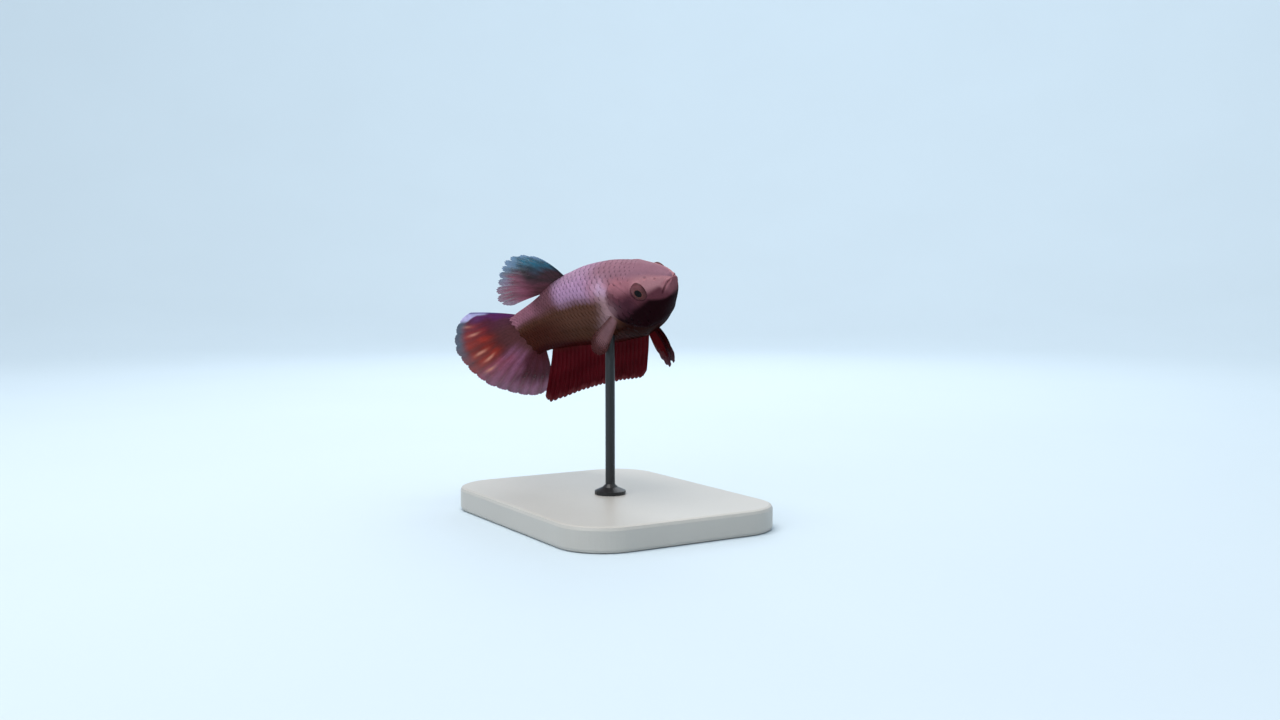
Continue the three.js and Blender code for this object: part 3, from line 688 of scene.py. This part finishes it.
def fin_sheet(name, middle, rays, fork, columns, rows, paint_fin, see_through):
    """Thickens a middle sheet, given as a function of u and v, to both sides: a thin membrane, a ridge on
    each ray and a fleshy root. Folds it lightly between the rays, paints it and returns the piece. Here u
    runs from the first ray (0) to the last (1), and v from the root (0) to the margin (1)."""
    closer_to_margin = np.linspace(0, 1, rows) ** 0.9
    u, v = np.meshgrid(np.linspace(0, 1, columns), closer_to_margin, indexing="xy")
    points = middle(u, v)
    along, across = np.gradient(points, axis=0), np.gradient(points, axis=1)
    normal = np.cross(along, across)
    normal /= np.linalg.norm(normal, axis=-1, keepdims=True)
    spacing = np.linalg.norm(across, axis=-1) * (columns - 1) / rays
    ridge = hump(fork_gap(u, v, rays, fork) * spacing, RAY_WIDTH * (1 - 0.35 * v))
    half = MEMBRANE * (1 - 0.4 * v) + RAY_HEIGHT * (1 - 0.7 * v) * ridge + ROOT_FLESH * ease(v, 0.3, 0.05)
    half *= np.minimum(1, ease(v, 1.04, 0.93) + 0.25)
    fold = RAY_FOLD * v * np.cos(2 * np.pi * u * rays) + LONG_FOLD * v * np.sin(9 * u + 5 * v)
    front, back = points + normal * (fold + half)[..., None], points + normal * (fold - half)[..., None]
    faces, uv = rings(np.linspace(0, 1, rows), 2 * columns)

    def both(field):
        """The field's columns on the front, then back again on the other side."""
        return np.concatenate([field, field[:, ::-1]], 1)

    numbers = (("cover", both(see_through(u, v, ridge))), ("along", both(v)), ("ray", both(ridge)))
    sheet = np.concatenate([front, back[:, ::-1]], 1)
    return make_piece(name, sheet, faces, uv, both(paint_fin(u, v, ridge)), numbers)


def read_number(m, label):
    """One of the piece's own numbers by point."""
    node = m.node_tree.nodes.new("ShaderNodeAttribute")
    node.attribute_name = label
    return node.outputs["Fac"]


def worked_out(m, operation, first, second=0.0):
    """A sum, product or sine; first is a node's output, and second another's or a plain number."""
    node = m.node_tree.nodes.new("ShaderNodeMath")
    node.operation = operation
    m.node_tree.links.new(first, node.inputs[0])
    if isinstance(second, float):
        node.inputs[1].default_value = second
    else:
        m.node_tree.links.new(second, node.inputs[1])
    return node.outputs[0]


def fin_material(name, coat, joints):
    """Fin skin: the flecked markings, a membrane that the cover lets light through, and bump from the flecks
    and from the short bones of a ray, as a sine wave with so many joints along it, only on the ray."""
    m = wet_paint(name, coat, 0.25)
    fleck = noise(m, 0.5 * MM, 5)
    speckled_paint(m, fleck, 0.28)
    m.node_tree.links.new(read_number(m, "cover"), m.node_tree.nodes["Principled BSDF"].inputs["Alpha"])
    turn = worked_out(m, "MULTIPLY", read_number(m, "along"), 2 * np.pi * joints)
    bones = worked_out(m, "MULTIPLY", worked_out(m, "SINE", turn), read_number(m, "ray"))
    add_bump(m, worked_out(m, "ADD", bones, fleck), 0.35, 0.03 * MM)
    return m


RAY_COVER = 0.97


def cover(v, ridge, root, margin):
    """Share of light that each side of the sheet stops: root near the body and margin at the edge, and
    nearer to that of bone on the rays than between them."""
    membrane = root + (margin - root) * ease(v, 0.35, 1.0)
    return membrane + (RAY_COVER - membrane) * 0.75 * ridge * (1 - 0.45 * v)


SLATE = colour(0.20, 0.175, 0.185)
INK = colour(0.10, 0.085, 0.13)
TEAL = colour(0.175, 0.44, 0.535)
ROSE = colour(0.56, 0.30, 0.375)
DUSKY = colour(0.29, 0.165, 0.18)
GREY_BLUE = colour(0.46, 0.57, 0.70)


def dorsal_middle(u, v):
    """The fan, upright in the fish's middle plane."""
    cut = notch(u, DORSAL_RAYS, DORSAL_FORK, DORSAL_NOTCH)
    s, z = fan(DORSAL_ROOT, DORSAL_LIE, DORSAL_ARCH, DORSAL_LENGTHS, u, v, cut)
    return on_stand(place(s, 0.0, z))


def dorsal_paint(u, v, ridge):
    """Rose behind and mottled slate in front, where the top shines teal and the front edge is inky; dark
    wavy streaks run with the rays, and the root is dusky. The margin is grey-blue."""
    front = ease(u + 0.09 * np.sin(9 * v + 1), 0.74, 0.46)
    mottle = 0.5 + 0.5 * np.sin(31 * u + 3 * np.sin(8 * v)) * np.cos(17 * v + 9 * u)
    streak = hump(np.mod(5 * u + 0.16 * np.sin(9 * v + 1), 1) - 0.5, 0.2)
    paint = blend(ROSE, SLATE, front * (0.86 + 0.14 * mottle))
    paint = blend(paint, DUSKY, 0.4 * streak * (1 - front) * ease(v, 0.98, 0.7))
    paint = blend(paint, DUSKY, 0.92 * ease(v, 0.62, 0.25) * (1 - 0.6 * front))
    shine = ease(u + 0.06 * np.sin(13 * v), 0.54, 0.24) * ease(v, 0.34, 0.62)
    paint = blend(paint, TEAL, shine * (1.0 - 0.6 * mottle))
    paint = blend(paint, INK, 0.8 * ease(u, 0.10, 0.0) * ease(v, 0.85, 0.5))
    rim = (0.8 - 0.6 * ease(u, 0.45, 0.8)) * ease(v + 0.06 * np.sin(21 * u), 0.76, 1.0)
    return blend(paint, GREY_BLUE, rim)


RED_ORANGE = colour(0.68, 0.215, 0.165)
ORANGE_HIGHLIGHT = colour(0.90, 0.60, 0.50)
BRICK = colour(0.375, 0.145, 0.14)
BROWN_MAUVE = colour(0.37, 0.21, 0.215)
VIOLET = colour(0.39, 0.17, 0.37)
BLUE_VIOLET = colour(0.36, 0.34, 0.56)
LILAC_HIGHLIGHT = colour(0.84, 0.80, 0.97)
PINK_LILAC = colour(0.68, 0.43, 0.57)
GREY_TEAL = colour(0.33, 0.42, 0.48)
SHADE_MAROON = colour(0.27, 0.10, 0.12)


def caudal_middle(u, v):
    """The fan, which swings aside as powers of the distance from the top ray and of that from the root."""
    cut = notch(u, CAUDAL_RAYS, CAUDAL_FORK, CAUDAL_NOTCH)
    s, z = fan(CAUDAL_ROOT, CAUDAL_LIE, CAUDAL_ARCH, CAUDAL_LENGTHS, u, v, cut)
    side = CAUDAL_CURL * np.maximum(u - 0.1, 0) ** 1.2 * v**1.7
    return on_stand(place(s, side, z))


def caudal_paint(u, v, ridge):
    """Brown-mauve at the root and brick outside it, with an uneven red-orange flame on each upper ray that
    starts nearer the root the lower the ray is, and pale flecks on it as painted highlights; pink-lilac
    flames below them and maroon at the bottom, painted shade where the lower lobe meets the anal fin; a
    violet top edge with a painted pale lilac highlight at its corner, and a grey-teal rim."""
    ray = np.floor(u * CAUDAL_RAYS)
    own = by_ray(ray)
    across = np.mod(u * CAUDAL_RAYS, 1) - 0.5
    across = across + 0.09 * np.sin(9 * v + 6 * own) + 0.04 * np.sin(27 * v + 9 * own)
    flame = hump(across, 0.34)
    broken = 0.5 + 0.5 * np.sin(21 * v + 11 * own + 4 * np.sin(3 * ray)) * np.sin(13 * v + 5 * ray)
    streaks = 0.5 + 0.5 * np.sin(2 * np.pi * u * CAUDAL_RAYS * 2 + 2 * np.sin(7 * v))
    paint = blend(BRICK, BROWN_MAUVE, ease(v, 0.66, 0.40))
    paint = blend(paint, DUSKY, 0.22 * streaks * ease(v, 0.9, 0.5))
    start = 0.50 - 0.22 * u + 0.14 * own
    upper = ease(v, start, start + 0.2) * ease(u, 0.06, 0.15) * ease(u, 0.66, 0.48)
    paint = blend(paint, RED_ORANGE, upper * (0.36 + 0.64 * flame) * (0.48 + 0.52 * broken))
    lower = ease(u, 0.42, 0.58) * ease(v, 0.28, 0.5)
    paint = blend(paint, PINK_LILAC, lower * (0.25 + 0.5 * flame * (0.4 + 0.6 * own)))
    # the lower lobe painted dark maroon: painted shade where it meets the anal fin
    paint = blend(paint, SHADE_MAROON, 0.88 * ease(u + 0.02 * np.sin(17 * v), 0.65, 0.75) * ease(v, 0.92, 0.68))
    # pale flecks on the flames: painted highlights
    fleck = hump(v - start - 0.22 - 0.08 * own, 0.07) * hump(across - 0.08, 0.13)
    paint = blend(paint, ORANGE_HIGHLIGHT, 0.85 * fleck * (own > 0.32) * upper)
    paint = blend(paint, VIOLET, 0.22 * ease(u, 0.30, 0.12))
    paint = blend(paint, VIOLET, 0.92 * ease(u + 0.015 * np.sin(23 * v), 0.125, 0.05) * ease(v, 0.12, 0.35))
    # the pale lilac patch at the top corner is a painted highlight
    highlight_edge = 0.022 + 0.05 * ease(v, 0.80, 0.92)
    paint = blend(paint, LILAC_HIGHLIGHT, 0.88 * ease(u, highlight_edge + 0.02, highlight_edge) * ease(v, 0.62, 0.78))
    paint = blend(paint, BLUE_VIOLET, 0.75 * ease(u, 0.02, 0.008) * ease(v, 0.4, 0.6))
    rim = ease(v + 0.02 * flame, 0.86, 0.98) * (0.85 - 0.7 * ease(u, 0.22, 0.42)) * ease(u, 0.05, 0.10)
    return blend(paint, GREY_TEAL, rim)


WINE = colour(0.31, 0.045, 0.075)
DEEP_WINE = colour(0.235, 0.012, 0.035)
ROSE_GREY = colour(0.47, 0.24, 0.25)


def anal_middle(u, v):
    """The fan, hanging in the fish's middle plane."""
    s, z = fan(ANAL_ROOT, ANAL_LIE, ANAL_ARCH, ANAL_LENGTHS, u, v, notch(u, ANAL_RAYS, ANAL_FORK, ANAL_NOTCH))
    return on_stand(place(s, 0.0, z))


def anal_paint(u, v, ridge):
    """Deep wine red with darker rays and a slow mottle, brownish at the root and dusky rose at the margin."""
    slow = 0.5 + 0.5 * np.sin(11 * u + 2 * np.sin(5 * v)) * np.cos(7 * v + 3 * u)
    paint = blend(WINE, DEEP_WINE, 0.25 * ridge + 0.7 * slow)
    paint = blend(paint, LOW_BROWN, 0.7 * ease(v, 0.25, 0.05))
    return blend(paint, ROSE_GREY, (0.35 + 0.3 * slow) * ease(v + 0.02 * np.sin(60 * u), 0.89, 0.98))


# Each fin's name, sheet, rays and fork, columns and rows of points, paint, and cover at root and margin.
for word, middle, rays, fork, columns, fin_rows, paint_fin, root, margin in (
    ("dorsal", dorsal_middle, DORSAL_RAYS, DORSAL_FORK, 180, 56, dorsal_paint, 0.97, 0.60),
    ("caudal", caudal_middle, CAUDAL_RAYS, CAUDAL_FORK, 236, 60, caudal_paint, 0.985, 0.80),
    ("anal", anal_middle, ANAL_RAYS, ANAL_FORK, 300, 50, anal_paint, 0.995, 0.97),
):
    see_through = lambda u, v, ridge: cover(v, ridge, root, margin)
    fin = fin_sheet(word + "_fin_rayed", middle, rays, fork, columns, fin_rows, paint_fin, see_through)
    fin.data.materials.append(fin_material(word + "_fin_skin", 0.04, 30))
    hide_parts(word + "_fin")
    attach(fin, "root")


# ---- Paired fins ----
# The narrow red pelvic fins hang from the breast, with a near-black front edge. The pectoral fins leave
# the body behind the gill covers, half folded, and point back and down. All are thin skin over fine rays.

PELVIC_ROOT, PELVIC_LIE, PELVIC_ARCH = ((0.296, -0.162), (0.346, -0.168)), (-86, -66), -30
PELVIC_LENGTHS = ((0, 0.2, 0.4, 0.7, 1), (0.13, 0.165, 0.172, 0.132, 0.07))
PELVIC_RAYS, PELVIC_FORK, PELVIC_NOTCH = 6, 0.7, 0.03
PELVIC_SIDE, PELVIC_SPLAY = 0.009, 0.003  # distance of the root from the middle plane, more at the tip
PECTORAL_AT, PECTORAL_LEVEL = 0.332, -0.02
PECTORAL_ROOT, PECTORAL_SINK = 0.036, 0.004  # height of the root, and its depth in the body's side
PECTORAL_LIE, PECTORAL_OUT, PECTORAL_LENGTH = (-14, -36), np.radians(28), 0.165
PECTORAL_RAYS, PECTORAL_FORK, PECTORAL_NOTCH = 12, 0.9, 0.05
PELVIC_RED = colour(0.30, 0.035, 0.055)
PELVIC_TIP = colour(0.34, 0.17, 0.24)
ROSE_SKIN = colour(0.37, 0.225, 0.21)
PALE_RAY = colour(0.58, 0.42, 0.44)
DIM_ROSE = colour(0.31, 0.15, 0.14)


def pelvic_paint(u, v, ridge):
    """Dark red, with a near-black front edge, darker rays and a purplish tip."""
    paint = blend(PELVIC_RED, DEEP_WINE, 0.6 * ridge)
    paint = blend(paint, BLACK, 0.75 * ease(u, 0.24, 0.04))
    return blend(paint, PELVIC_TIP, 0.5 * ease(v, 0.72, 1.0))


def pectoral_paint(u, v, ridge):
    """Pale rose rays on dusky rose skin, which darkens to the first and last ray, the root and the margin."""
    edge = ease(np.abs(2 * u - 1), 0.3, 1.0)
    paint = blend(ROSE_SKIN, PALE_RAY, (0.5 + 0.35 * ridge) * (1 - 0.85 * edge))
    paint = blend(paint, DIM_ROSE, 0.85 * ease(v, 0.6, 0.95))
    return blend(paint, OLIVE_BROWN, 0.6 * ease(v, 0.2, 0.0))


def pelvic_middle(u, v, side):
    """The fan of the left or right fin, which splays outwards evenly from root to tip."""
    cut = notch(u, PELVIC_RAYS, PELVIC_FORK, PELVIC_NOTCH)
    s, z = fan(PELVIC_ROOT, PELVIC_LIE, PELVIC_ARCH, PELVIC_LENGTHS, u, v, cut)
    return on_stand(place(s, side * (PELVIC_SIDE + PELVIC_SPLAY * v), z))


def pectoral_middle(u, v, side):
    """The left or right fin: straight rays from an upright root on the body's side. Their angle turns
    evenly from the first to the last, the middle ones are the longest, and all lean outwards alike."""
    angle = np.radians(PECTORAL_LIE[0] + (PECTORAL_LIE[1] - PECTORAL_LIE[0]) * u)
    cut = notch(u, PECTORAL_RAYS, PECTORAL_FORK, PECTORAL_NOTCH)
    long = PECTORAL_LENGTH * (1 - 0.3 * (2 * u - 1) ** 2) * (1 - cut)
    reach = long * v - ROOT_DEPTH * (1 - v)
    s = PECTORAL_AT + reach * np.cos(angle) * np.cos(PECTORAL_OUT)
    y = side * (outline(np.array(PECTORAL_AT))[2] - PECTORAL_SINK + reach * np.sin(PECTORAL_OUT))
    return on_stand(place(s, y, PECTORAL_LEVEL - PECTORAL_ROOT * u + reach * np.sin(angle)))


def pelvic_cover(u, v, ridge):
    """Nearly all the light at the root, and less towards the tip."""
    return cover(v, ridge, 0.99, 0.85)


def pectoral_cover(u, v, ridge):
    """An even membrane with slightly denser rays, thinner with the cube of the distance from the root."""
    return (0.80 + 0.12 * ridge) * (1 - 0.3 * v**3)


pelvic_skin = fin_material("pelvic_fin_skin", 0.04, 18)
pectoral_skin = fin_material("pectoral_fin_skin", 0.03, 9)
for side, hand in ((1, "_left"), (-1, "_right")):
    hanging = lambda u, v: pelvic_middle(u, v, side)
    name = "pelvic_fin_rayed" + hand
    fin = fin_sheet(name, hanging, PELVIC_RAYS, PELVIC_FORK, 84, 48, pelvic_paint, pelvic_cover)
    fin.data.materials.append(pelvic_skin)
    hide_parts("pelvic_fin" + hand)
    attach(fin, "root")

    folded = lambda u, v: pectoral_middle(u, v, side)
    name = "pectoral_fin_rayed" + hand
    fin = fin_sheet(name, folded, PECTORAL_RAYS, PECTORAL_FORK, 156, 44, pectoral_paint, pectoral_cover)
    fin.data.materials.append(pectoral_skin)
    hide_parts("pectoral_fin" + hand)
    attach(fin, "root")


# ---- Display stand ----
# A small light-alloy base with a satin warm-grey lacquer, and one steel pin in satin black that ends in a
# socket in the belly. Both keep their solids' shape and get their finish here.


def lacquer(name, base, roughness, coat, grain, speck):
    """Sprayed paint: one colour with a faint cloudiness, an orange-peel bump and a varied gloss."""
    m = bpy.data.materials.new(name)
    m.use_nodes = True
    nodes, links = m.node_tree.nodes, m.node_tree.links
    shader = nodes["Principled BSDF"]
    shader.inputs["Coat Weight"].default_value = coat
    shader.inputs["Coat Roughness"].default_value = 0.3
    tone = nodes.new("ShaderNodeMix")
    tone.data_type = "RGBA"
    tone.inputs["A"].default_value = (*(base * (1 - speck)), 1)
    tone.inputs["B"].default_value = (*np.minimum(base * (1 + speck), 1), 1)
    links.new(noise(m, 40 * grain, 2), tone.inputs["Factor"])
    links.new(tone.outputs["Result"], shader.inputs["Base Color"])
    peel = noise(m, grain, 3)
    links.new(between(m, peel, roughness - 0.06, roughness + 0.06), shader.inputs["Roughness"])
    add_bump(m, peel, 0.15, 0.02 * MM)
    return m


for node, finish in (
    ("stand_base", lacquer("warm_grey_lacquer", colour(0.72, 0.70, 0.67), 0.45, 0.15, 0.35 * MM, 0.05)),
    ("stand_rod", lacquer("satin_black", colour(0.05, 0.05, 0.055), 0.4, 0.1, 0.15 * MM, 0.15)),
):
    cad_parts[node].data.materials.clear()
    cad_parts[node].data.materials.append(finish)


# ---- Floor, light and camera ----
# A pale floor that sweeps up far away on every side, soft light from above, a weak fill and a lamp for
# the backdrop, and the camera level with the snout, looking from ahead on the fish's right side.

FLOOR_FLAT, FLOOR_RISE = 0.5, 0.5  # radius of the flat part, and of the quarter circle round it
FLAT_RINGS, SWEEP_RINGS, FLOOR_SPOKES = 15, 24, 96
flat = np.linspace(MM, FLOOR_FLAT, FLAT_RINGS, endpoint=False)
sweep = np.linspace(0, np.pi / 2, SWEEP_RINGS)
radius = np.concatenate([flat, FLOOR_FLAT + FLOOR_RISE * np.sin(sweep)])
height = np.concatenate([0 * flat, FLOOR_RISE * (1 - np.cos(sweep))])
spin = np.linspace(0, 2 * np.pi, FLOOR_SPOKES, endpoint=False)
floor_points = np.stack(
    [radius[:, None] * np.cos(spin), radius[:, None] * np.sin(spin), height[:, None] + 0 * spin], -1
)
floor_faces, _ = rings(np.linspace(0, 1, len(radius)), FLOOR_SPOKES)
floor_faces = floor_faces[: 1 - FLOOR_SPOKES // 2]  # all but the faces across the outer ring
floor_mesh = bpy.data.meshes.new("floor")
floor_mesh.from_pydata(floor_points.reshape(-1, 3).tolist(), [], floor_faces.tolist())
floor_mesh.polygons.foreach_set("use_smooth", np.ones(len(floor_mesh.polygons), bool))
floor = bpy.data.objects.new("floor", floor_mesh)
bpy.context.scene.collection.objects.link(floor)
floor_mesh.materials.append(lacquer("floor_paper", colour(0.78, 0.83, 0.86), 0.85, 0.0, 2 * MM, 0.02))


def soft_light(name, place_at, aim, size, power, tint):
    """A square area light that looks at a point."""
    lamp = bpy.data.lights.new(name, "AREA")
    lamp.size = size
    lamp.energy = power
    lamp.color = tint
    light = bpy.data.objects.new(name, lamp)
    light.location = place_at
    light.rotation_euler = (Vector(aim) - Vector(place_at)).to_track_quat("-Z", "Y").to_euler()
    bpy.context.scene.collection.objects.link(light)


FISH_HEIGHT = (0, 0, 0.03)
soft_light("key", (0.03, -0.12, 0.42), FISH_HEIGHT, 0.28, 1.25, (1.0, 0.98, 0.96))
soft_light("fill", (0.16, -0.40, 0.20), FISH_HEIGHT, 0.35, 0.42, (0.96, 0.97, 1.0))
soft_light("rim", (-0.30, 0.20, 0.30), FISH_HEIGHT, 0.25, 0.4, (0.90, 0.95, 1.0))
soft_light("backdrop", (-0.15, 0.20, 0.75), (-0.90, 0.58, 0.40), 0.5, 4.0, (0.92, 0.96, 1.0))
world = bpy.data.worlds.new("studio")
world.use_nodes = True
world.node_tree.nodes["Background"].inputs["Color"].default_value = (0.84, 0.92, 1.0, 1)
world.node_tree.nodes["Background"].inputs["Strength"].default_value = 0.76
bpy.context.scene.world = world
bpy.context.scene.view_settings.view_transform = "Standard"

VIEW_FROM = np.radians(57)  # the camera's bearing round the fish
VIEW_DISTANCE = 0.1901  # from the snout
LOOK_DOWN, LOOK_LEFT = np.radians(3.748), np.radians(1.562)
to_snout = Vector((-np.sin(VIEW_FROM), np.cos(VIEW_FROM), 0))
level = Matrix.Rotation(LOOK_LEFT, 3, "Z") @ to_snout
lens = bpy.data.cameras.new("camera")
lens.lens = 35
lens.sensor_width = 36
lens.clip_start = 0.01
camera = bpy.data.objects.new("camera", lens)
camera.location = Vector(snout) - to_snout * VIEW_DISTANCE
looks = level * np.cos(LOOK_DOWN) - Vector((0, 0, np.sin(LOOK_DOWN)))
camera.rotation_euler = looks.to_track_quat("-Z", "Y").to_euler()
bpy.context.scene.collection.objects.link(camera)
bpy.context.scene.camera = camera
